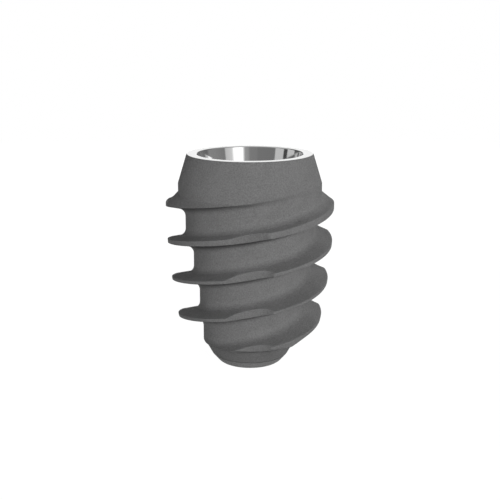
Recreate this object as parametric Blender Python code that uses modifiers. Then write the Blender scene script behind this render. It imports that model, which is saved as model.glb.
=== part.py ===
"""Tapered dental implant, turned and milled from one bar of titanium.

The fixture stands on its apical end, axis on +Z, with the origin in the middle of that end.
It is built in the order it is machined: a turned blank, two helical grooves that leave a
double-start thread, three self-tapping flutes, and the connection bored in from the platform.
Depths are measured down from the platform, heights up from the apical end.
"""

import math

import bmesh
import bpy
from mathutils import Matrix, Vector

MM = 0.001

# Overall
LENGTH = 7.00 * MM
THREAD_DIAMETER = 5.50 * MM

# Platform and collar
PLATFORM_DIAMETER = 4.11 * MM
PLATFORM_EDGE_BREAK = 0.025 * MM
COLLAR_DIAMETER = 4.69 * MM
COLLAR_CONE_DEPTH = 0.945 * MM
COLLAR_BAND = 0.305 * MM
FLARE_ANGLE = math.radians(51.0)

# Crown of the thread: the crests lie on one large arc that is widest at this depth
CROWN_DEPTH = 1.55 * MM
CREST_DIAMETER_AT_NOSE = 4.57 * MM

# Nose: a shallow bevel under the last crest, a blunt cone, a chamfer and a flat end
NOSE_HEIGHT = 1.04 * MM
NOSE_CONE_HEIGHT = 0.73 * MM
NOSE_CONE_DIAMETER = 3.07 * MM
APEX_CHAMFER_HEIGHT = 0.28 * MM
APEX_CHAMFER_DIAMETER = 2.58 * MM
APEX_DIAMETER = 2.10 * MM
APEX_EDGE_BREAK = 0.03 * MM

# Double-start thread, cut with one form tool
PITCH = 1.26 * MM
STARTS = 2
FIRST_CREST_DEPTH = 1.635 * MM
FIRST_CREST_ANGLE = math.pi
GROOVE_WIDTH = 0.81 * MM
GROOVE_FILLET = 0.25 * MM
FLANK_ANGLE = math.radians(12.0)
GROOVE_LAST_DEPTH = 6.28 * MM
GROOVE_LEAVE_TURN = math.radians(30.0)

# Root diameters that the tool follows: at the collar, midway and at the nose
ROOT_DIAMETER_COLLAR = 4.86 * MM
ROOT_DIAMETER_MIDDLE = 3.73 * MM
ROOT_DIAMETER_NOSE = 3.15 * MM
ROOT_COLLAR_DEPTH = 1.00 * MM
ROOT_NOSE_HEIGHT = 1.01 * MM

# The form tool reaches past the blank, measured midway
TOOL_CLEARANCE = 0.115 * MM
TOOL_HEIGHT = (THREAD_DIAMETER - ROOT_DIAMETER_MIDDLE) / 2 + TOOL_CLEARANCE

# Self-tapping flutes
FLUTE_COUNT = 3
FLUTE_FIRST_ANGLE = 1.5 * math.pi
FLUTE_RADIUS = 1.15 * MM
FLUTE_FLOOR = 2.29 * MM
FLUTE_TILT = math.radians(6.5)
FLUTE_TOP_DEPTH = 3.35 * MM
FLUTE_RUNOUT_RADIUS = 5.50 * MM
FLUTE_RUNOUT_ANGLE = math.radians(40.0)

# Connection: conical seat, hexagonal socket and the bore for the abutment screw
SEAT_DIAMETER = 3.43 * MM
SEAT_TAPER = math.radians(11.0)
SEAT_DEPTH = 1.90 * MM
SEAT_MOUTH_BREAK = 0.02 * MM
SOCKET_ACROSS_FLATS = 2.20 * MM
SOCKET_DEPTH = 3.10 * MM
SCREW_BORE_DIAMETER = 1.60 * MM
SCREW_BORE_DEPTH = 5.40 * MM
DRILL_POINT_ANGLE = math.radians(59.0)

# Facets round the axis and along the arcs
TURNED_STEPS = 96
GROOVE_STEPS = 48
FILLET_STEPS = 4
CROWN_STEPS = 14
RUNOUT_STEPS = 8
OVERRUN = 0.50 * MM
MERGE = 1.0e-6
SHARP_ANGLE = math.radians(25.0)

LEAD = PITCH * STARTS


def height(depth):
    """Height above the apical end of a place given by its depth under the platform."""
    return LENGTH - depth


def make_collection(name):
    """A new collection in the scene."""
    collection = bpy.data.collections.new(name)
    bpy.context.scene.collection.children.link(collection)
    return collection


def make_object(name, vertices, faces, collection, edges=()):
    """A mesh object made from coordinates."""
    mesh = bpy.data.meshes.new(name)
    mesh.from_pydata([Vector(v) for v in vertices], list(edges), list(faces))
    mesh.update()
    made = bpy.data.objects.new(name, mesh)
    collection.objects.link(made)
    return made


def turn(made, steps):
    """Turn a profile in the XZ plane round the Z axis into a closed solid."""
    screw = made.modifiers.new("turned", "SCREW")
    screw.axis = "Z"
    screw.angle = 2 * math.pi
    screw.steps = steps
    screw.render_steps = steps
    screw.use_merge_vertices = True
    screw.merge_threshold = MERGE
    screw.use_smooth_shade = True
    return made


def turned_profile(name, points, steps, collection):
    """A turned solid whose profile runs from the axis, down its outer side, back to the axis."""
    vertices = [(radius, 0.0, z) for radius, z in points]
    edges = [(i, i + 1) for i in range(len(points) - 1)]
    return turn(make_object(name, vertices, [], collection, edges), steps)


def mark_cutter(cutter):
    """Show a cutter as a wire and keep it out of renders."""
    cutter.hide_render = True
    cutter.display_type = "WIRE"
    return cutter


def crown_radius(depth):
    """Radius of the blank under the crests: an arc, upright at CROWN_DEPTH."""
    fall = THREAD_DIAMETER / 2 - CREST_DIAMETER_AT_NOSE / 2
    run = LENGTH - NOSE_HEIGHT - CROWN_DEPTH
    arc = (run * run + fall * fall) / (2 * fall)
    offset = depth - CROWN_DEPTH
    return THREAD_DIAMETER / 2 - arc + math.sqrt(arc * arc - offset * offset)


def blank_profile():
    """Profile of the turned blank as (radius, height), from the platform to the apical end."""
    platform = PLATFORM_DIAMETER / 2
    collar = COLLAR_DIAMETER / 2
    flare_depth = COLLAR_CONE_DEPTH + COLLAR_BAND
    flare_end = flare_depth + (THREAD_DIAMETER / 2 - collar) / math.tan(FLARE_ANGLE)
    nose_depth = LENGTH - NOSE_HEIGHT
    slope = (collar - platform) / COLLAR_CONE_DEPTH
    points = [
        (0.0, height(0.0)),
        (platform - PLATFORM_EDGE_BREAK, height(0.0)),
        (platform + slope * PLATFORM_EDGE_BREAK, height(PLATFORM_EDGE_BREAK)),
        (collar, height(COLLAR_CONE_DEPTH)),
        (collar, height(flare_depth)),
    ]
    for i in range(CROWN_STEPS + 1):
        depth = flare_end + (nose_depth - flare_end) * i / CROWN_STEPS
        points.append((crown_radius(depth), height(depth)))
    apex = APEX_DIAMETER / 2
    chamfer = APEX_CHAMFER_DIAMETER / 2
    chamfer_slope = (chamfer - apex) / APEX_CHAMFER_HEIGHT
    points += [
        (NOSE_CONE_DIAMETER / 2, NOSE_CONE_HEIGHT),
        (chamfer, APEX_CHAMFER_HEIGHT),
        (apex + chamfer_slope * APEX_EDGE_BREAK, APEX_EDGE_BREAK),
        (apex - APEX_EDGE_BREAK, 0.0),
        (0.0, 0.0),
    ]
    return points


def root_radius(depth):
    """Root radius where the tool's middle is at a depth: a parabola through three diameters."""
    first = ROOT_COLLAR_DEPTH
    last = LENGTH - ROOT_NOSE_HEIGHT
    share = (depth - first) / (last - first)
    start = ROOT_DIAMETER_COLLAR / 2
    middle = ROOT_DIAMETER_MIDDLE / 2
    end = ROOT_DIAMETER_NOSE / 2
    bend = 2 * (start + end - 2 * middle)
    return start + (end - start - bend) * share + bend * share * share


def tool_section():
    """Section of the form tool as (height above the root, offset along the axis), one closed loop."""
    turn_angle = math.pi / 2 - FLANK_ANGLE
    flat = GROOVE_WIDTH / 2 - GROOVE_FILLET * math.tan(turn_angle / 2)
    side = []
    for i in range(FILLET_STEPS + 1):
        angle = turn_angle * i / FILLET_STEPS
        rise = GROOVE_FILLET * (1 - math.cos(angle))
        side.append((rise, flat + GROOVE_FILLET * math.sin(angle)))
    rise, offset = side[-1]
    side.append((TOOL_HEIGHT, offset + (TOOL_HEIGHT - rise) * math.tan(FLANK_ANGLE)))
    lower = [(rise, -offset) for rise, offset in reversed(side)]
    return lower + side


def groove_cutter(start, collection):
    """One helical groove: the tool's section carried down a right-hand helix of tapering radius.

    Near the nose the tool leaves the work within GROOVE_LEAVE_TURN.
    """
    section = tool_section()
    first_depth = COLLAR_CONE_DEPTH / 2
    leave = LEAD * GROOVE_LEAVE_TURN / (2 * math.pi)
    middle_depth = FIRST_CREST_DEPTH + PITCH / 2
    count = math.ceil((GROOVE_LAST_DEPTH + leave - first_depth) / LEAD * GROOVE_STEPS)
    vertices = []
    for i in range(count + 1):
        depth = first_depth + LEAD * i / GROOVE_STEPS
        turns = (middle_depth - depth) / LEAD + start / STARTS
        angle = FIRST_CREST_ANGLE + 2 * math.pi * turns
        root = root_radius(depth)
        root += TOOL_HEIGHT * max(0.0, (depth - GROOVE_LAST_DEPTH) / leave) ** 2
        for rise, offset in section:
            radius = root + rise
            z = height(depth) + offset
            vertices.append((radius * math.cos(angle), radius * math.sin(angle), z))
    size = len(section)
    faces = []
    for i in range(count):
        for j in range(size):
            a = i * size + j
            b = i * size + (j + 1) % size
            faces.append((a, b, b + size, a + size))
    faces.append(tuple(range(size - 1, -1, -1)))
    faces.append(tuple(range(count * size, (count + 1) * size)))
    cutter = make_object(f"groove_cutter_{start + 1}", vertices, faces, collection)
    face_outwards(cutter)
    return mark_cutter(cutter)


def face_outwards(made):
    """Recalculate a closed mesh's normals so that they point out."""
    shape = bmesh.new()
    shape.from_mesh(made.data)
    bmesh.ops.recalc_face_normals(shape, faces=shape.faces)
    shape.to_mesh(made.data)
    shape.free()


def flute_cutter(index, collection):
    """One flute: a round cutter's path, up along the nose and then out through the crests."""
    along = Vector((math.sin(FLUTE_TILT), math.cos(FLUTE_TILT)))
    across = Vector((math.cos(FLUTE_TILT), -math.sin(FLUTE_TILT)))
    top = Vector((FLUTE_FLOOR, height(FLUTE_TOP_DEPTH)))
    centre = top + across * FLUTE_RUNOUT_RADIUS
    swing = FLUTE_RUNOUT_RADIUS - FLUTE_RADIUS
    points = [top + across * FLUTE_RADIUS - along * (top.y + OVERRUN)]
    for i in range(RUNOUT_STEPS + 1):
        angle = FLUTE_RUNOUT_ANGLE * i / RUNOUT_STEPS
        points.append(centre + (along * math.sin(angle) - across * math.cos(angle)) * swing)
    curve = bpy.data.curves.new("flute_path", "CURVE")
    curve.dimensions = "3D"
    curve.bevel_depth = FLUTE_RADIUS
    curve.bevel_resolution = 8
    curve.use_fill_caps = True
    spline = curve.splines.new("POLY")
    spline.points.add(len(points) - 1)
    angle = FLUTE_FIRST_ANGLE + 2 * math.pi * index / FLUTE_COUNT
    for point, (out, z) in zip(spline.points, points):
        point.co = (out * math.cos(angle), out * math.sin(angle), z, 1.0)
    path = bpy.data.objects.new("flute_path", curve)
    collection.objects.link(path)
    cutter = mesh_from_curve(path, f"flute_cutter_{index + 1}", collection)
    return mark_cutter(cutter)


def mesh_from_curve(path, name, collection):
    """Turn a bevelled curve into a closed mesh object and remove the curve."""
    bpy.context.view_layer.update()
    evaluated = path.evaluated_get(bpy.context.evaluated_depsgraph_get())
    mesh = bpy.data.meshes.new_from_object(evaluated)
    shape = bmesh.new()
    shape.from_mesh(mesh)
    bmesh.ops.remove_doubles(shape, verts=shape.verts, dist=MERGE)
    bmesh.ops.recalc_face_normals(shape, faces=shape.faces)
    shape.to_mesh(mesh)
    shape.free()
    mesh.name = name
    made = bpy.data.objects.new(name, mesh)
    made.matrix_world = path.matrix_world.copy()
    collection.objects.link(made)
    bpy.data.objects.remove(path, do_unlink=True)
    return made


def connection_cutter(collection):
    """Conical seat and screw bore with its drill point, as one turned tool."""
    seat = SEAT_DIAMETER / 2
    above = seat + SEAT_MOUTH_BREAK + OVERRUN
    bottom = seat - SEAT_DEPTH * math.tan(SEAT_TAPER)
    bore = SCREW_BORE_DIAMETER / 2
    points = [
        (0.0, height(-OVERRUN)),
        (above, height(-OVERRUN)),
        (seat + SEAT_MOUTH_BREAK, height(0.0)),
        (seat, height(SEAT_MOUTH_BREAK)),
        (bottom, height(SEAT_DEPTH)),
        (bore, height(SEAT_DEPTH)),
        (bore, height(SCREW_BORE_DEPTH)),
        (0.0, height(SCREW_BORE_DEPTH + bore / math.tan(DRILL_POINT_ANGLE))),
    ]
    return mark_cutter(turned_profile("connection_cutter", points, TURNED_STEPS // 2, collection))


def socket_cutter(collection):
    """Hexagonal socket that keeps the abutment from turning."""
    rise = SEAT_DEPTH / 2
    depth = SOCKET_DEPTH - SEAT_DEPTH + rise
    shape = bmesh.new()
    bmesh.ops.create_cone(
        shape,
        cap_ends=True,
        segments=6,
        radius1=SOCKET_ACROSS_FLATS / math.sqrt(3),
        radius2=SOCKET_ACROSS_FLATS / math.sqrt(3),
        depth=depth,
        matrix=Matrix.Translation((0, 0, height(SOCKET_DEPTH) + depth / 2)),
    )
    mesh = bpy.data.meshes.new("socket_cutter")
    shape.to_mesh(mesh)
    shape.free()
    made = bpy.data.objects.new("socket_cutter", mesh)
    collection.objects.link(made)
    return mark_cutter(made)


def cut(target, cutter):
    """Subtract a cutter from the target."""
    boolean = target.modifiers.new(cutter.name, "BOOLEAN")
    boolean.operation = "DIFFERENCE"
    boolean.solver = "EXACT"
    boolean.object = cutter


def finish(body):
    """Apply the cuts, then shade the round faces smooth and keep the machined edges sharp."""
    bpy.context.view_layer.update()
    evaluated = body.evaluated_get(bpy.context.evaluated_depsgraph_get())
    mesh = bpy.data.meshes.new_from_object(evaluated)
    body.modifiers.clear()
    body.data = mesh
    mesh.name = body.name
    mesh.shade_smooth()
    mesh.set_sharp_from_angle(angle=SHARP_ANGLE)


def titanium():
    """Blasted and etched titanium, neutral grey."""
    material = bpy.data.materials.new("blasted_titanium")
    material.use_nodes = True
    shader = material.node_tree.nodes["Principled BSDF"]
    shader.inputs["Base Color"].default_value = (0.20, 0.20, 0.20, 1.0)
    shader.inputs["Metallic"].default_value = 1.0
    shader.inputs["Roughness"].default_value = 0.6
    return material


def build():
    """Machine the implant."""
    for old in list(bpy.data.objects):
        bpy.data.objects.remove(old, do_unlink=True)
    parts = make_collection("dental_implant")
    cutters = make_collection("cutters")

    body = turned_profile("implant_body", blank_profile(), TURNED_STEPS, parts)
    for start in range(STARTS):
        cut(body, groove_cutter(start, cutters))
    for index in range(FLUTE_COUNT):
        cut(body, flute_cutter(index, cutters))
    cut(body, connection_cutter(cutters))
    cut(body, socket_cutter(cutters))
    body.data.materials.append(titanium())
    finish(body)
    return body


build()
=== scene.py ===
# %% [markdown]
# # A dental implant under soft studio light
#
# The real object is one short titanium screw, turned and milled from bar, then blasted and etched so that
# bone grips it. Only the ring on top and the cone inside stay polished.
#
# The CAD model holds the true form as a faceted solid. This script lays a finer skin over that form, with
# rounded thread edges and the female thread deep in the bore, and gives each zone the finish it has after
# machining. Everything below is worked out in millimetres and turned into metres at the very end.

import bpy
import numpy as np
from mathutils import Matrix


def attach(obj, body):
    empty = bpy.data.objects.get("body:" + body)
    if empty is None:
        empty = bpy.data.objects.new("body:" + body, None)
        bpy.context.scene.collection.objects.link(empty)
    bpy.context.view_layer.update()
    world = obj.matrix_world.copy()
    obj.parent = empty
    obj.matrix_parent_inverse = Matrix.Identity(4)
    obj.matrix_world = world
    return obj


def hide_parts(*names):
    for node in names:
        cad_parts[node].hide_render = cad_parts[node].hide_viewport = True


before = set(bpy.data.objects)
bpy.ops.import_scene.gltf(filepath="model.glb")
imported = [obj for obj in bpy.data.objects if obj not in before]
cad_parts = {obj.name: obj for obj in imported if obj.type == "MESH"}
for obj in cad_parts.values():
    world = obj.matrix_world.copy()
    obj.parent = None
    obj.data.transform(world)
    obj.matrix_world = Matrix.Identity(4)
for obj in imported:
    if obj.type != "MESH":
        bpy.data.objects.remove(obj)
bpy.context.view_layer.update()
MM = 0.001

# %% [markdown]
# ## The turned blank
#
# Before any thread is cut, the bar is a turned blank: a collar that narrows towards the platform, a short
# straight band, a flare, a slightly crowned middle, a shallow bevel under the last crest, a blunt cone and
# a chamfer.
#
# A lathe part could be made with a Screw modifier. Here the blank is one function that gives a radius for
# each height, because the grooves and the flutes are then more such functions, and the finished surface is
# simply the smallest of them.

# %% The blank's radius at each height
LENGTH = 7.00
THREAD_RADIUS = 2.75
PLATFORM_RADIUS = 2.055
PLATFORM_EDGE_BREAK = 0.025
PLATFORM_EDGE_RISE = 0.008
COLLAR_RADIUS = 2.345
COLLAR_CONE_DEPTH = 0.945
COLLAR_BAND = 0.305
FLARE_ANGLE = np.radians(51)
CROWN_DEPTH = 1.55
NOSE_HEIGHT = 1.04
NOSE_RADIUS = 2.285
NOSE_CONE_HEIGHT = 0.73
NOSE_CONE_RADIUS = 1.535
APEX_CHAMFER_HEIGHT = 0.28
APEX_CHAMFER_RADIUS = 1.29
APEX_RADIUS = 1.05
APEX_EDGE_BREAK = 0.03
APEX_EDGE_RISE = 0.026
EDGE_ROUNDING = 0.012
ROUNDING_REACH = 3
CROWN_POINTS = 60
PROFILE_POINTS = 2801


def blank_radius(height):
    """Radius of the turned blank at each height.

    Straight lines join the corner points. Between the crown and the nose the blank follows an arc that
    starts parallel to the axis: the radius falls by arc - sqrt(arc squared - distance squared). A narrow
    bell-shaped average along the height then rounds every corner a little, as blasting does.
    """
    run = LENGTH - NOSE_HEIGHT - CROWN_DEPTH
    fall = THREAD_RADIUS - NOSE_RADIUS
    arc = (run ** 2 + fall ** 2) / (2 * fall)
    distance = np.linspace(run, 0, CROWN_POINTS)
    crown = np.column_stack((LENGTH - CROWN_DEPTH - distance,
                             THREAD_RADIUS - arc + np.sqrt(arc ** 2 - distance ** 2)))
    flare_end = COLLAR_CONE_DEPTH + COLLAR_BAND + (THREAD_RADIUS - COLLAR_RADIUS) / np.tan(FLARE_ANGLE)
    corners = np.vstack((
        (0, APEX_RADIUS - APEX_EDGE_BREAK),
        (APEX_EDGE_BREAK, APEX_RADIUS + APEX_EDGE_RISE),
        (APEX_CHAMFER_HEIGHT, APEX_CHAMFER_RADIUS),
        (NOSE_CONE_HEIGHT, NOSE_CONE_RADIUS),
        crown,
        (LENGTH - flare_end, THREAD_RADIUS),
        (LENGTH - COLLAR_CONE_DEPTH - COLLAR_BAND, COLLAR_RADIUS),
        (LENGTH - COLLAR_CONE_DEPTH, COLLAR_RADIUS),
        (LENGTH - PLATFORM_EDGE_BREAK, PLATFORM_RADIUS + PLATFORM_EDGE_RISE),
        (LENGTH, PLATFORM_RADIUS - PLATFORM_EDGE_BREAK),
    ))
    spacing = height[1] - height[0]
    reach = int(ROUNDING_REACH * EDGE_ROUNDING / spacing)
    bell = np.exp(-0.5 * (np.arange(-reach, reach + 1) * spacing / EDGE_ROUNDING) ** 2)
    radius = np.interp(height, corners[:, 0], corners[:, 1])
    return np.convolve(np.pad(radius, reach, mode="edge"), bell / bell.sum(), mode="valid")


heights = np.linspace(0, LENGTH, PROFILE_POINTS)
blank = blank_radius(heights)
print(f"blank: {len(heights)} heights, radius {blank.min():.3f} to {blank.max():.3f} mm")

# %% [markdown]
# ## The double-start thread
#
# Two grooves wind round the blank, half a turn apart. One form tool cuts both: a flat nose, a fillet on
# each side and flanks that lean back by 12 degrees. The root comes closer to the axis towards the nose, so
# the thread deepens, and near the nose the tool swings out of the work.
#
# A sweep along a helix would give the same groove, but as a function of angle and height it needs no
# boolean. What counts at each point is only how far it lies from the middle of the nearest groove.

# %% The groove's radius at each angle and height
PITCH = 1.26
STARTS = 2
LEAD = PITCH * STARTS
FIRST_CREST_DEPTH = 1.635
FIRST_CREST_ANGLE = np.pi
GROOVE_WIDTH = 0.81
GROOVE_FILLET = 0.25
FLANK_ANGLE = np.radians(12)
ROOT_DEPTHS = (1.00, 5.99)
ROOT_RADII = (2.43, 1.865, 1.575)
GROOVE_LAST_DEPTH = 6.28
GROOVE_LEAVE = LEAD * 30 / 360
TOOL_HEIGHT = 1.00
SWING_END = 3


def groove_offset(angle, height):
    """Distance along the axis from the middle of the nearest groove, with its sign.

    Groove middles lie one pitch apart, and all of them rise by one lead for each turn.
    """
    place = (LENGTH - height - FIRST_CREST_DEPTH) / PITCH - 0.5
    place = place + STARTS * (angle - FIRST_CREST_ANGLE) / (2 * np.pi)
    return (place - np.round(place)) * PITCH


def root_radius(depth):
    """Radius of the groove's floor: a parabola through its collar, middle and nose values."""
    share = (depth - ROOT_DEPTHS[0]) / (ROOT_DEPTHS[1] - ROOT_DEPTHS[0])
    start, middle, end = ROOT_RADII
    bend = 2 * (start + end - 2 * middle)
    return start + (end - start - bend) * share + bend * share ** 2


def tool_rise(offset):
    """Height of the form tool's edge over the groove's floor.

    It is zero on the flat, then an arc of the fillet's radius, then a straight flank.
    """
    turn = np.pi / 2 - FLANK_ANGLE
    flat = GROOVE_WIDTH / 2 - GROOVE_FILLET * np.tan(turn / 2)
    past = np.clip(np.abs(offset) - flat, 0, None)
    on_arc = np.clip(past, 0, GROOVE_FILLET * np.sin(turn))
    return GROOVE_FILLET - np.sqrt(GROOVE_FILLET ** 2 - on_arc ** 2) + (past - on_arc) / np.tan(FLANK_ANGLE)


def groove_radius(angle, height):
    """Radius of the groove's surface: floor, tool section, and the tool swinging out near the nose.

    Past the last depth the tool swings out by its own height times the square of the share of the way gone.
    """
    offset = groove_offset(angle, height)
    middle = LENGTH - height - offset
    share = np.clip((middle - GROOVE_LAST_DEPTH) / GROOVE_LEAVE, 0, SWING_END)
    return root_radius(middle) + tool_rise(offset) + TOOL_HEIGHT * share ** 2


print(f"thread: pitch {PITCH} mm, lead {LEAD} mm, root {ROOT_RADII[0]} to {ROOT_RADII[2]} mm from the axis")

# %% [markdown]
# ## The cutting flutes
#
# Three shallow flutes cross the crests, so that the implant taps its own thread. The floor of each one
# leans towards the axis at the nose, and bends out of the work higher up.
#
# Seen from above, the cutter is a circle outside the implant, and the flute's surface is where a line from
# the axis first meets it. The side that cuts is steeper: there the floor runs on flat for a little, and a
# smaller circle turns it up to a sharp edge.

# %% The flute's radius at each angle and height
FLUTE_COUNT = 3
FLUTE_FIRST_ANGLE = 1.5 * np.pi
FLUTE_RADIUS = 1.15
FLUTE_FLAT = 0.24
FLUTE_WALL_RADIUS = 0.58
FLUTE_FLOOR = 2.29
FLUTE_TILT = np.radians(6.5)
FLUTE_TOP_DEPTH = 3.35
FLUTE_RUNOUT_RADIUS = 5.50
RUNOUT_STEEPEST = 0.95
OUT_OF_REACH = 9.0


def from_flute(angle):
    """Angle from the middle of the nearest flute, with its sign."""
    step = 2 * np.pi / FLUTE_COUNT
    return (angle - FLUTE_FIRST_ANGLE + step / 2) % step - step / 2


def flute_radius(angle, height):
    """Radius of the flute's surface, or a value out of reach where the cutter passes beside the point.

    A line leaves the axis at an angle a from the flute's middle. A circle of radius s has its middle at x
    aside and y outwards. The line meets it at (x sin a + y cos a) - sqrt(s squared - (x cos a - y sin a)
    squared), and a flat floor f at f / cos a. The floor itself leans by the tilt, and above the flute's top
    it follows an arc that starts with the same tilt.
    """
    above = height - (LENGTH - FLUTE_TOP_DEPTH)
    rise = np.sin(FLUTE_TILT) + np.clip(above, 0, None) / FLUTE_RUNOUT_RADIUS
    rise = np.clip(rise, 0, RUNOUT_STEEPEST)
    runout = FLUTE_RUNOUT_RADIUS * (np.cos(FLUTE_TILT) - np.sqrt(1 - rise ** 2))
    floor = FLUTE_FLOOR + np.clip(above, None, 0) * np.tan(FLUTE_TILT) + runout
    aside = from_flute(angle)
    cutting = aside > 0
    circle = np.where(cutting, FLUTE_WALL_RADIUS, FLUTE_RADIUS)
    shift = np.where(cutting, FLUTE_FLAT, 0)
    along = shift * np.sin(aside) + (floor + circle) * np.cos(aside)
    inside = circle ** 2 - (shift * np.cos(aside) - (floor + circle) * np.sin(aside)) ** 2
    meets = (inside > 0) & (np.abs(aside) < np.pi / FLUTE_COUNT)
    wall = np.where(meets, along - np.sqrt(np.clip(inside, 0, None)), OUT_OF_REACH)
    on_flat = cutting & (floor * np.sin(aside) < FLUTE_FLAT * np.cos(aside))
    return np.where(on_flat, floor / np.cos(aside), wall)


print(f"flutes: {FLUTE_COUNT}, sides of {FLUTE_RADIUS} and {FLUTE_WALL_RADIUS} mm radius")

# %% [markdown]
# ## One skin for the outside
#
# The skin is a grid: columns go up the implant at set angles, and each column has the same number of
# points. Equal spacing would waste most of them on smooth roots, so the columns gather near the flutes'
# edges, and the points of each column gather on the flanks and where the profile turns.

# %% Columns, closer together at the edges of the flutes
COLUMNS = 288
FLUTE_EDGE = np.radians(17)
EDGE_ZONE = np.radians(5)
EDGE_GATHER = 1.6
TURN_POINTS = 7201


def column_angles():
    """Angles whose spacing shrinks near each flute's two edges.

    The density is 1 + gather exp(-(distance from an edge / zone) squared), and its sum round the implant is
    cut into equal parts.
    """
    turn = np.linspace(0, 2 * np.pi, TURN_POINTS)
    near = (np.abs(from_flute(FLUTE_FIRST_ANGLE + turn)) - FLUTE_EDGE) / EDGE_ZONE
    density = 1 + EDGE_GATHER * np.exp(-near ** 2)
    summed = np.concatenate(([0], np.cumsum((density[1:] + density[:-1]) / 2)))
    return FLUTE_FIRST_ANGLE + np.interp(np.arange(COLUMNS) / COLUMNS * summed[-1], summed, turn)


angles = column_angles()
gaps = np.degrees(np.diff(angles))
print(f"columns: {COLUMNS}, {gaps.min():.2f} to {gaps.max():.2f} degrees apart")

# %% Rows, closer together on the flanks and where the profile turns
OUTER_ROWS = 236
ROW_RISE = 0.14
ROW_REACH = 0.05
ROW_TURN = 0.28
COLUMN_SHARE = 0.999
EDGE_SOFTNESS = 0.05


def softer_min(first, second, softness):
    """The smaller of two radii, with a rounded edge between them.

    Where they differ by less than the softness s, (s - difference) squared / 4s is taken off.
    """
    close = np.clip(softness - np.abs(first - second), 0, None)
    return np.minimum(first, second) - close ** 2 / (4 * softness)


def outer_grid():
    """Height and radius of every point of the outer skin, one line for each column.

    Steps along and away from the axis and turning angles of the threaded profile are summed up along each
    column, and the points are set at equal parts of that sum. Steps away from the axis weigh most, because
    the flutes' edges cross the flanks. The flutes are cut afterwards, so they don't shift the points.

    Each column's sum is scaled to a little under 1 and moved up by the column's number. All sums then follow
    one another, and one interpolation serves every column.
    """
    angle = angles[:, None]
    threaded = softer_min(blank[None, :], groove_radius(angle, heights[None, :]), EDGE_SOFTNESS)
    rise = np.diff(heights)[None, :]
    out = np.diff(threaded, axis=1)
    turning = np.abs(np.diff(np.arctan2(out, rise), axis=1, prepend=np.arctan2(out[:, :1], rise[:, :1])))
    density = rise / ROW_RISE + np.abs(out) / ROW_REACH + turning / ROW_TURN
    summed = np.cumsum(np.pad(density, ((0, 0), (1, 0))), axis=1)
    number = np.arange(COLUMNS)[:, None]
    part = COLUMN_SHARE * summed / summed[:, -1:] + number
    wanted = COLUMN_SHARE * np.linspace(0, 1, OUTER_ROWS)[None, :] + number
    place = np.interp(wanted.ravel(), part.ravel(), np.arange(part.size, dtype=float)).reshape(wanted.shape)
    place = np.clip(place - number * len(heights), 0, len(heights) - 1)
    height = place * (heights[1] - heights[0])
    radius = softer_min(np.interp(height, heights, blank), groove_radius(angle, height), EDGE_SOFTNESS)
    return height, softer_min(radius, flute_radius(angle, height), EDGE_SOFTNESS)


outer_height, outer_radius = outer_grid()
print(f"outside: {outer_radius.size} points, widest radius {outer_radius.max():.3f} mm")

# %% Painted light and shade at each point of the grooves
# Each pair is a place across the groove in mm, negative under a crest, and a painted factor on the colour
# there: painted shade in the corner under a crest, and on the other side a painted highlight along the
# fillet, painted shade on the flank and a little painted light above it.
GROOVE_PAINTED_LIGHT_AND_SHADE = ((-0.42, 0.74), (-0.375, 0.78), (-0.33, 0.87), (-0.285, 0.96), (-0.24, 1.00), (0.10, 1.00),
                (0.25, 1.04), (0.33, 1.00), (0.40, 0.93), (0.45, 1.05), (0.50, 1.00))
# Painted shade under a crest, darker still near each flute's middle.
FLUTE_PAINTED_SHADE = 0.6
FLUTE_PAINTED_SHADE_WIDTH = np.radians(13)


def painted_groove_light_and_shade(angle, height, radius):
    """The painted light and shade factor for each place across a groove, and 1 outside the grooves.

    Under a flute the painted shade in the corner is darker still: at an angle a from the flute's middle its
    change from 1 is multiplied by 1 + shade exp(-(a / width) squared).
    """
    offset = groove_offset(angle, height)
    places, painted_light_and_shade_values = np.transpose(GROOVE_PAINTED_LIGHT_AND_SHADE)
    at_flute = FLUTE_PAINTED_SHADE * np.exp(-(from_flute(angle) / FLUTE_PAINTED_SHADE_WIDTH) ** 2)
    change = (np.interp(offset, places, painted_light_and_shade_values) - 1) * (1 + np.where(offset < 0, at_flute, 0))
    in_groove = np.clip(1 - (groove_radius(angle, height) - radius) / EDGE_SOFTNESS, 0, 1)
    return 1 + change * in_groove


outer_painted_light_and_shade = painted_groove_light_and_shade(angles[:, None], outer_height, outer_radius)
print(f"tones in the grooves: {outer_painted_light_and_shade.min():.2f} to {outer_painted_light_and_shade.max():.2f}")

# %% [markdown]
# ## The connection inside
#
# The abutment sits in a polished 11 degree cone. Below it a hexagon takes the driver, and a blind bore with
# a fine female thread takes the abutment screw.
#
# The same columns carry on over the ring and down the bore as more rows, so outside and inside stay one
# closed skin. The hexagon's corners fall on columns, because the columns are even on both sides of a
# flute.

# %% Sizes of the connection, and the female thread
SEAT_RADIUS = 1.715
SEAT_MOUTH_BREAK = 0.025
SEAT_TAPER = np.radians(11)
SEAT_DEPTH = 1.90
SOCKET_ACROSS_FLATS = 2.20
SOCKET_DEPTH = 3.10
SOCKET_LEAD_IN = 0.06
SCREW_RADIUS = 0.80
SCREW_PITCH = 0.40
SCREW_THREAD_DEPTH = 0.17
SCREW_BORE_DEPTH = 5.40
SCREW_THREAD_END = 5.00
SCREW_THREAD_START = SOCKET_DEPTH + 0.05
SCREW_THREAD_FADE = 0.20
SCREW_SLOPE = 2.6
SCREW_FLAT = 0.15
DRILL_POINT_ANGLE = np.radians(59)


def rows_between(start, end, count):
    """Rows in a straight line from one pair of radius and depth towards the next, without the last one."""
    share = np.linspace(0, 1, count, endpoint=False)[:, None]
    return np.array(start) + share * (np.array(end) - np.array(start))


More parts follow.
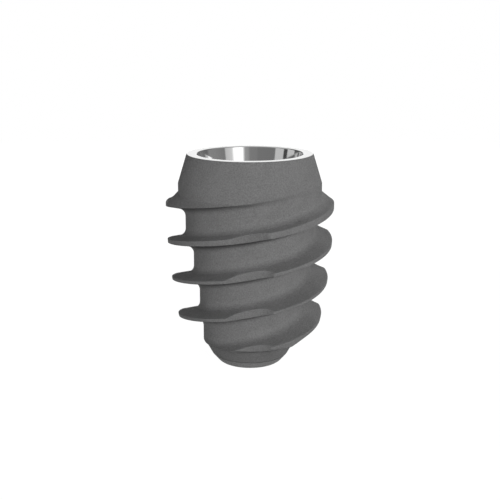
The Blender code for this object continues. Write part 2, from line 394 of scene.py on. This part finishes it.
def screw_thread(angle, depth):
    """How far the female thread cuts into the bore's wall.

    Each pitch is a V with a flat top and floor: slope times the distance from the middle of the pitch, less
    the flat, kept between 0 and 1. The V fades in and out over a set depth at the thread's two ends.
    """
    phase = (depth / SCREW_PITCH + angle / (2 * np.pi)) % 1
    ridge = np.clip(SCREW_SLOPE * np.abs(phase - 0.5) - SCREW_FLAT, 0, 1)
    fade_in = np.clip((depth - SCREW_THREAD_START) / SCREW_THREAD_FADE, 0, 1)
    fade_out = np.clip((SCREW_THREAD_END - depth) / SCREW_THREAD_FADE, 0, 1)
    return SCREW_THREAD_DEPTH * ridge * fade_in * fade_out


print(f"screw bore: {2 * SCREW_RADIUS} mm across, female thread with a pitch of {SCREW_PITCH} mm")

# %% Rows of the ring and the conical seat
RING_ROWS = 6
SEAT_ROWS = 14
# A row close under the seat's mouth keeps the edge there from bending the reflections in the seat.
SEAT_FIRST_ROW = 0.04

mouth = SEAT_RADIUS + SEAT_MOUTH_BREAK
seat_end = SEAT_RADIUS - (SEAT_DEPTH - SEAT_MOUTH_BREAK) * np.tan(SEAT_TAPER)
ring_rows = np.vstack((rows_between((PLATFORM_RADIUS - PLATFORM_EDGE_BREAK, 0), (mouth, 0), RING_ROWS)[1:],
                       rows_between((mouth, 0), (SEAT_RADIUS, SEAT_MOUTH_BREAK), 2)))
seat_rows = rows_between((SEAT_RADIUS, SEAT_MOUTH_BREAK), (seat_end, SEAT_DEPTH), SEAT_ROWS)
under_mouth = seat_rows[0] + SEAT_FIRST_ROW * (seat_rows[1] - seat_rows[0])
seat_rows = np.vstack((seat_rows[:1], under_mouth, seat_rows[1:]))
print(f"ring: {len(ring_rows)} rows, seat: {len(seat_rows)} rows, {2 * seat_end:.2f} mm across at its end")

# %% Rows of the hexagon, its floor and the screw bore
SHELF_ROWS = 3
SOCKET_ROWS = 7
SOCKET_FLOOR_ROWS = 4
BORE_ROWS = 57
POINT_ROWS = 4

flats = (SOCKET_ACROSS_FLATS / 2) / np.cos((angles + np.pi / 6) % (np.pi / 3) - np.pi / 6)
shelf_share = np.linspace(0, 1, SHELF_ROWS)[:, None]
shelf_radius = seat_end + shelf_share * (flats[None, :] + SOCKET_LEAD_IN - seat_end)
wall_radius = np.repeat(flats[None, :], SOCKET_ROWS, axis=0)
wall_depth = np.linspace(SEAT_DEPTH + SOCKET_LEAD_IN, SOCKET_DEPTH, SOCKET_ROWS)
floor_share = np.linspace(0, 1, SOCKET_FLOOR_ROWS + 1)[1:, None]
floor_radius = flats[None, :] + floor_share * (SCREW_RADIUS - flats[None, :])
bore_depth = np.linspace(SOCKET_DEPTH, SCREW_BORE_DEPTH, BORE_ROWS + 1)[1:]
bore_radius = SCREW_RADIUS + screw_thread(angles[None, :], bore_depth[:, None])
point_radius = SCREW_RADIUS * np.linspace(1, 0, POINT_ROWS + 2)[1:-1]
point_depth = SCREW_BORE_DEPTH + (SCREW_RADIUS - point_radius) / np.tan(DRILL_POINT_ANGLE)
print(f"hexagon: {2 * flats.min():.2f} mm across its flats, {2 * flats.max():.2f} mm across its corners")

# %% [markdown]
# The rows are stacked from the middle of the flat tip, up the outside, over the ring and down to the point
# that the drill leaves. A number for each row says which finish its faces get.

# %% Stack all rows into one skin
BLASTED, POLISHED, BORED = 0, 1, 2
TIP_SHARES = (0.1, 0.3, 0.55, 0.8, 0.97)


def around(values):
    """One row for each value, with that value all the way round."""
    return np.repeat(np.asarray(values, float)[:, None], COLUMNS, axis=1)


tip_radius = (APEX_RADIUS - APEX_EDGE_BREAK) * np.array(TIP_SHARES)
stack = [
    (around(tip_radius), around(np.zeros(len(tip_radius))), BLASTED),
    (outer_radius.T, outer_height.T, BLASTED),
    (around(ring_rows[:, 0]), LENGTH - around(ring_rows[:, 1]), POLISHED),
    (around(seat_rows[:, 0]), LENGTH - around(seat_rows[:, 1]), POLISHED),
    (shelf_radius, np.full_like(shelf_radius, LENGTH - SEAT_DEPTH), BORED),
    (wall_radius, LENGTH - around(wall_depth), BORED),
    (floor_radius, np.full_like(floor_radius, LENGTH - SOCKET_DEPTH), BORED),
    (bore_radius, LENGTH - around(bore_depth), BORED),
    (around(point_radius), LENGTH - around(point_depth), BORED),
]
radii = np.vstack([radius for radius, level, finish in stack])
levels = np.vstack([level for radius, level, finish in stack])
row_finish = np.concatenate([np.full(len(radius), finish) for radius, level, finish in stack])
# Painted light and shade for every point: 1 except in the outside grooves.
painted_light_and_shade_values = np.ones_like(radii)
painted_light_and_shade_values[len(tip_radius):len(tip_radius) + OUTER_ROWS] = outer_painted_light_and_shade.T
print(f"skin: {len(radii)} rows of {COLUMNS} points")

# %% Turn the rows into a closed mesh
SHARP_ANGLE = np.radians(50)


def closed_skin(name, radii, levels, row_finish, painted_light_and_shade_values, low_pole, high_pole):
    """A mesh of four-sided faces between neighbouring rows and columns, closed by a fan at each pole.

    A point with radius r, angle a and level z lies at (r cos a, r sin a, z).
    """
    rows, columns = radii.shape
    points = np.stack((radii * np.cos(angles), radii * np.sin(angles), levels), axis=-1).reshape(-1, 3)
    points = np.vstack((points, (0, 0, low_pole), (0, 0, high_pole))) * MM
    here = np.arange(rows * columns).reshape(rows, columns)
    beside = np.roll(here, -1, axis=1)
    quads = np.stack((here[:-1], beside[:-1], beside[1:], here[1:]), axis=-1).reshape(-1, 4)
    low, high = rows * columns, rows * columns + 1
    low_fan = np.column_stack((np.full(columns, low), beside[0], here[0]))
    high_fan = np.column_stack((np.full(columns, high), here[-1], beside[-1]))
    corners = np.concatenate((quads.ravel(), low_fan.ravel(), high_fan.ravel()))
    sizes = np.concatenate((np.full(len(quads), 4), np.full(2 * columns, 3)))
    finish = np.concatenate((np.repeat(row_finish[1:], columns), np.full(columns, row_finish[0]),
                             np.full(columns, row_finish[-1])))
    mesh = bpy.data.meshes.new(name)
    mesh.vertices.add(len(points))
    mesh.vertices.foreach_set("co", points.ravel())
    mesh.loops.add(len(corners))
    mesh.loops.foreach_set("vertex_index", corners.astype(np.int32))
    mesh.polygons.add(len(sizes))
    mesh.polygons.foreach_set("loop_start", (np.cumsum(sizes) - sizes).astype(np.int32))
    mesh.polygons.foreach_set("material_index", finish.astype(np.int32))
    mesh.update(calc_edges=True)
    mesh.validate()
    mesh.shade_smooth()
    mesh.set_sharp_from_angle(angle=SHARP_ANGLE)
    # The painted light and shade goes onto the points, and the blasted colour is scaled by it.
    tone = mesh.attributes.new("tone", "FLOAT", "POINT")
    tone.data.foreach_set("value", np.append(painted_light_and_shade_values.ravel(), (1, 1)))
    piece = bpy.data.objects.new(name, mesh)
    bpy.context.scene.collection.objects.link(piece)
    return piece


drill_point = LENGTH - SCREW_BORE_DEPTH - SCREW_RADIUS / np.tan(DRILL_POINT_ANGLE)
implant = closed_skin("implant_skin", radii, levels, row_finish, painted_light_and_shade_values, 0, drill_point)
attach(implant, "root")
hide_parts("implant_body")
triangles = sum(len(face.vertices) - 2 for face in implant.data.polygons)
print(f"implant_skin: {len(implant.data.vertices)} points, {triangles} triangles")

# %% [markdown]
# ## Helpers for the materials
#
# Materials are small programs of nodes. A thin wrapper round a socket lets the arithmetic be written as
# arithmetic, and one method makes every other kind of node.

# %% Node arithmetic


class Value:
    """A node socket that can be added to and multiplied like a number."""

    def __init__(self, nodes, socket):
        self.nodes = nodes
        self.socket = socket

    def math(self, operation, first, second):
        """One Math node on two numbers or sockets."""
        return self.nodes.make("ShaderNodeMath", {"operation": operation}, {0: first, 1: second})

    def __add__(self, other):
        return self.math("ADD", self, other)

    def __mul__(self, other):
        return self.math("MULTIPLY", self, other)

    __radd__ = __add__
    __rmul__ = __mul__


class Nodes:
    """The node tree of one material or of the world."""

    def __init__(self, owner):
        owner.use_nodes = True
        self.tree = owner.node_tree
        self.tree.nodes.clear()

    def set_stops(self, ramp, stops):
        """Gives a colour ramp its stops, each a place between 0 and 1 and a colour."""
        while len(ramp.elements) < len(stops):
            ramp.elements.new(1.0)
        for element, (place, colour) in zip(ramp.elements, stops):
            element.position = place
            element.color = colour

    def make(self, kind, settings, sockets, output=0):
        """Makes one node: its settings first, then a number, a colour or a link for each named socket."""
        node = self.tree.nodes.new(kind)
        for name, setting in settings.items():
            if name == "stops":
                self.set_stops(node.color_ramp, setting)
            else:
                setattr(node.color_ramp if hasattr(node, "color_ramp") else node, name, setting)
        for key, given in sockets.items():
            if isinstance(given, Value):
                self.tree.links.new(given.socket, node.inputs[key])
            else:
                node.inputs[key].default_value = given
        return Value(self, node.outputs[output]) if len(node.outputs) else None


print("node helpers ready")

# %% [markdown]
# ## Blasted titanium
#
# Blasting with coarse grit and etching leaves pits from a few hundredths to a tenth of a millimetre
# across. From a normal distance they are a fine, slightly uneven grain on a neutral grey, and the metal
# hardly shines.
#
# Noise at three sizes gives that grain: the two finer ones also raise the surface, and the third only clouds
# the colour. On top of it the colour carries painted shade in the corners under the crests, painted
# highlights on the fillets, and a painted highlight and a painted dark line of shade at the tip.

# %% The blasted and etched skin
GRAIN_SIZE = 0.040 * MM
PIT_SIZE = 0.085 * MM
CLOUD_SIZE = 0.45 * MM
PIT_DEPTH = 0.016 * MM
BLASTED_GREY = 0.182
PLAIN_SHARE = 0.50
GRAIN_SHARE = 0.80
CLOUD_SHARE = 0.20
# Each pair is a height in mm and a painted factor on the colour there: a painted highlight on the chamfer,
# a painted dark line of shade at its crease, and slightly darker up the nose cone.
TIP_PAINTED_LIGHT_AND_SHADE = ((0.00, 1.60), (0.24, 1.55), (0.265, 0.74), (0.285, 0.74), (0.31, 0.97), (0.90, 0.95),
             (1.00, 1.00))


def blasted_titanium():
    """Neutral grey metal with a fine grain in its colour, its roughness and its surface.

    The colour is a grey times the painted light and shade at that height, times the painted light and shade
    in the groove, times the noise.
    """
    material = bpy.data.materials.new("blasted_skin")
    nodes = Nodes(material)
    place = nodes.make("ShaderNodeTexCoord", {}, {}, "Object")
    grain, pits, cloud = (
        nodes.make("ShaderNodeTexNoise", {}, {"Vector": place, "Scale": 1 / size, "Detail": 2.0})
        for size in (GRAIN_SIZE, PIT_SIZE, CLOUD_SIZE))
    height = nodes.make("ShaderNodeSeparateXYZ", {}, {0: place}, "Z")
    # Painted highlight on the chamfer and painted shade along its crease, by height.
    stops = [(level, (tone, tone, tone, 1)) for level, tone in TIP_PAINTED_LIGHT_AND_SHADE]
    tip_painted_light_and_shade = nodes.make("ShaderNodeValToRGB", {"interpolation": "LINEAR", "stops": stops},
                     {"Fac": height * (1 / MM)})
    # Painted shade and highlights of the grooves, read back from the points.
    groove = nodes.make("ShaderNodeAttribute", {"attribute_name": "tone"}, {}, "Fac")
    noise = PLAIN_SHARE + GRAIN_SHARE * grain + CLOUD_SHARE * cloud
    grey = BLASTED_GREY * tip_painted_light_and_shade * groove * noise
    colour = nodes.make("ShaderNodeCombineColor", {}, {"Red": grey, "Green": grey, "Blue": grey})
    bump = nodes.make("ShaderNodeBump", {}, {"Height": grain + pits, "Distance": PIT_DEPTH, "Strength": 0.9})
    skin = nodes.make("ShaderNodeBsdfPrincipled", {}, {
        "Base Color": colour, "Metallic": 0.05, "Roughness": 0.70 + 0.12 * grain,
        "Specular IOR Level": 0.05, "Normal": bump})
    nodes.make("ShaderNodeOutputMaterial", {}, {"Surface": skin})
    return material


implant.data.materials.append(blasted_titanium())
print("blasted titanium: grain", round(GRAIN_SIZE / MM, 3), "mm")

# %% [markdown]
# ## Polished ring and cone
#
# The ring and the conical seat carry the abutment, so they are turned last with a fine tool and stay
# bright. Only a faint haze softens the reflection. Below the seat the metal is as the mill and the drill
# leave it, and duller.

# %% The polished ring and seat, and the bored metal below
POLISHED_HAZE = 0.12 * MM
BORED_HAZE = 0.08 * MM


def machined_titanium(name, grey, haze_size, detail, roughness, change):
    """Bare metal whose roughness varies: roughness + change times the noise."""
    material = bpy.data.materials.new(name)
    nodes = Nodes(material)
    place = nodes.make("ShaderNodeTexCoord", {}, {}, "Object")
    haze = nodes.make("ShaderNodeTexNoise", {}, {"Vector": place, "Scale": 1 / haze_size, "Detail": detail})
    metal = nodes.make("ShaderNodeBsdfPrincipled", {}, {
        "Base Color": (grey, grey, grey, 1), "Metallic": 1.0, "Roughness": roughness + change * haze})
    nodes.make("ShaderNodeOutputMaterial", {}, {"Surface": metal})
    return material


implant.data.materials.append(machined_titanium("polished_titanium", 0.80, POLISHED_HAZE, 2.0, 0.05, 0.05))
implant.data.materials.append(machined_titanium("bored_titanium", 0.45, BORED_HAZE, 3.0, 0.22, 0.16))
print("materials:", [material.name for material in implant.data.materials])

# %% [markdown]
# ## The studio
#
# The implant stands in a white studio. Behind it the backdrop is white. In front of it the room is grey,
# with brighter panels at the sides, which the polished cone mirrors as upright bands.
#
# Such a room could be built from cards. A world whose brightness depends on the direction does the same,
# and nothing stands in the way of other views. Light Path keeps three jobs apart: the camera sees white,
# shiny surfaces see the studio, and matte ones get only a dim and even light from it. The floor is split
# likewise.

# %% The studio that shiny surfaces mirror
# Each pair is a direction in degrees, 0 towards the camera and 90 to its right, and the brightness there.
STUDIO_BANDS = ((-180, 1.00), (-169, 1.00), (-165, 0.10), (-118, 0.10), (-116, 0.62), (-94, 0.62),
                (-93, 0.07), (-83, 0.07), (-82, 0.60), (-60.5, 0.60), (-59.5, 0.19), (-18, 0.20),
                (-16, 0.225), (0, 0.235), (4, 0.33), (12, 0.36), (18, 1.50), (36, 1.50), (42, 0.72),
                (58, 0.58), (59.5, 0.22), (85, 0.26), (104, 0.27), (112, 0.15), (145, 0.20), (165, 0.12),
                (169, 1.00), (180, 1.00))
# The ceiling fades in between these two values of the direction's upward part.
CEILING_START = 0.55
CEILING_FULL = 0.90
CEILING = 0.40
MATTE_WORLD = 0.01


def ray_kinds(nodes):
    """Two values: one where the camera looks, and one where a shiny or clear surface does."""
    path = nodes.tree.nodes.new("ShaderNodeLightPath")
    camera, glossy, clear = (Value(nodes, path.outputs[name])
                             for name in ("Is Camera Ray", "Is Glossy Ray", "Is Transmission Ray"))
    return camera, nodes.make("ShaderNodeMath", {"operation": "MAXIMUM"}, {0: glossy, 1: clear})


def background(nodes, colour, strength):
    """A Background node of one colour and strength."""
    return nodes.make("ShaderNodeBackground", {}, {"Color": colour, "Strength": strength})


def studio():
    """The world: white for the camera, bands under a grey ceiling for mirrors, dim for matte surfaces.

    The bands go by the direction atan2(across, towards the camera), as a share of a full turn.
    """
    world = bpy.data.worlds.new("studio")
    bpy.context.scene.world = world
    nodes = Nodes(world)
    white = (1, 1, 1, 1)
    place = nodes.make("ShaderNodeTexCoord", {}, {}, "Generated")
    across, along, up = (nodes.make("ShaderNodeSeparateXYZ", {}, {0: place}, axis) for axis in "XYZ")
    direction = nodes.make("ShaderNodeMath", {"operation": "ARCTAN2"}, {0: across, 1: -1 * along})
    stops = [(0.5 + degrees / 360, (grey, grey, grey, 1)) for degrees, grey in STUDIO_BANDS]
    bands = nodes.make("ShaderNodeValToRGB", {"interpolation": "LINEAR", "stops": stops},
                       {"Fac": 0.5 + direction * (0.5 / np.pi)})
    high = nodes.make("ShaderNodeMapRange", {"interpolation_type": "SMOOTHSTEP"},
                      {"Value": up, "From Min": CEILING_START, "From Max": CEILING_FULL})
    camera, shiny = ray_kinds(nodes)
    mirrored = nodes.make("ShaderNodeMixShader", {}, {
        0: high, 1: background(nodes, bands, 1.0), 2: background(nodes, white, CEILING)})
    unseen = nodes.make("ShaderNodeMixShader", {}, {
        0: shiny, 1: background(nodes, white, MATTE_WORLD), 2: mirrored})
    seen = nodes.make("ShaderNodeMixShader", {}, {0: camera, 1: unseen, 2: background(nodes, white, 1.0)})
    nodes.make("ShaderNodeOutputWorld", {}, {"Surface": seen})


studio()
print("studio:", len(STUDIO_BANDS), "bands round the implant")

# %% The white floor
FLOOR_REACH = 60.0
FLOOR_GLOW = 1.065
FLOOR_MATTE_GLOW = 0.11
FLOOR_SHADOW = 0.08
FLOOR_GREY = 0.9


def white_floor():
    """A flat square under the implant: it looks white, lights it from below and keeps a faint shadow.

    It glows by matte glow + seen (glow - matte glow), where seen is 1 for the camera and for mirrors.
    """
    mesh = bpy.data.meshes.new("floor")
    reach = FLOOR_REACH * MM
    corners = [(-reach, -reach, 0), (reach, -reach, 0), (reach, reach, 0), (-reach, reach, 0)]
    mesh.from_pydata(corners, [], [(0, 1, 2, 3)])
    floor = bpy.data.objects.new("floor", mesh)
    bpy.context.scene.collection.objects.link(floor)
    material = bpy.data.materials.new("white_floor")
    nodes = Nodes(material)
    camera, shiny = ray_kinds(nodes)
    seen = nodes.make("ShaderNodeMath", {"operation": "MAXIMUM"}, {0: camera, 1: shiny})
    glow = nodes.make("ShaderNodeEmission", {}, {
        "Color": (1, 1, 1, 1), "Strength": FLOOR_MATTE_GLOW + seen * (FLOOR_GLOW - FLOOR_MATTE_GLOW)})
    matte = nodes.make("ShaderNodeBsdfDiffuse", {}, {"Color": (FLOOR_GREY, FLOOR_GREY, FLOOR_GREY, 1)})
    mixed = nodes.make("ShaderNodeMixShader", {}, {0: FLOOR_SHADOW, 1: glow, 2: matte})
    nodes.make("ShaderNodeOutputMaterial", {}, {"Surface": mixed})
    mesh.materials.append(material)


white_floor()
print("floor:", 2 * FLOOR_REACH, "mm square")

# %% [markdown]
# ## The softboxes
#
# A wide, low softbox just above the camera lights the whole thread, and a smaller key at the front right
# models it. Strips and edge lamps at both sides shape the roots. One lamp behind and above lights the tops
# of the crests, and one straight behind fills the side that the photograph doesn't show.
#
# Mirrors don't see these lamps, because the panels in the world already stand for them there.

# %% Softboxes round the implant
LAMP_DISTANCE = 60.0
# Each lamp: degrees from the camera's side round to its right, degrees up, width and height in mm, watts.
SOFTBOXES = {
    "front": (5, 16, 36, 6, 0.0205),
    "key": (30, 20, 14, 8, 0.0093),
    "right_strip": (80, 14, 16, 26, 0.0055),
    "right_edge": (110, 5, 12, 26, 0.0104),
    "left_strip": (-60, 4, 12, 16, 0.0048),
    "left_edge": (-100, 5, 12, 26, 0.0046),
    "back_top": (160, 40, 20, 20, 0.0124),
    "back_fill": (180, 5, 36, 10, 0.0100),
}


def softbox(name, direction, rise, width, height, power):
    """An area lamp on a sphere round the implant's middle, facing it, unseen by camera and mirrors.

    Turned by t and tilted by e it lies along (sin t cos e, -cos t cos e, sin e).
    """
    lamp = bpy.data.lights.new(name, "AREA")
    lamp.shape = "RECTANGLE"
    lamp.size = width * MM
    lamp.size_y = height * MM
    lamp.energy = power
    holder = bpy.data.objects.new(name, lamp)
    turn, tilt = np.radians(direction), np.radians(rise)
    away = np.array((np.sin(turn) * np.cos(tilt), -np.cos(turn) * np.cos(tilt), np.sin(tilt)))
    holder.location = (away * LAMP_DISTANCE + (0, 0, LENGTH / 2)) * MM
    holder.rotation_euler = (np.pi / 2 - tilt, 0, turn)
    holder.visible_camera = False
    holder.visible_glossy = False
    bpy.context.scene.collection.objects.link(holder)


for name, settings in SOFTBOXES.items():
    softbox(name, *settings)
print("softboxes:", ", ".join(SOFTBOXES))

# %% [markdown]
# ## Camera
#
# The photograph looks slightly down on the implant from close by. Its place, its tilt and its focal length
# follow from the ellipses of the platform and the collar and from the length of the thread.

# %% The camera at the photograph's place
PICTURE_WIDTH = 500
FOCAL_PIXELS = 880.0
SENSOR_WIDTH = 36
CAMERA_DISTANCE = 28.374
CAMERA_RISE = 3.850
CAMERA_TILT = 0.2445
NEAREST_SEEN = 1.0


def photo_camera():
    """A camera in front of the implant and a little above its platform, tilted down by 14 degrees."""
    camera = bpy.data.cameras.new("camera")
    camera.sensor_width = SENSOR_WIDTH
    camera.lens = FOCAL_PIXELS / PICTURE_WIDTH * SENSOR_WIDTH
    camera.clip_start = NEAREST_SEEN * MM
    holder = bpy.data.objects.new("camera", camera)
    holder.location = (0, -CAMERA_DISTANCE * MM, (LENGTH + CAMERA_RISE) * MM)
    holder.rotation_euler = (np.pi / 2 - CAMERA_TILT, 0, 0)
    bpy.context.scene.collection.objects.link(holder)
    bpy.context.scene.camera = holder


photo_camera()
bpy.context.scene.view_settings.view_transform = "Standard"
print("camera: focal length", round(bpy.context.scene.camera.data.lens, 2), "mm")
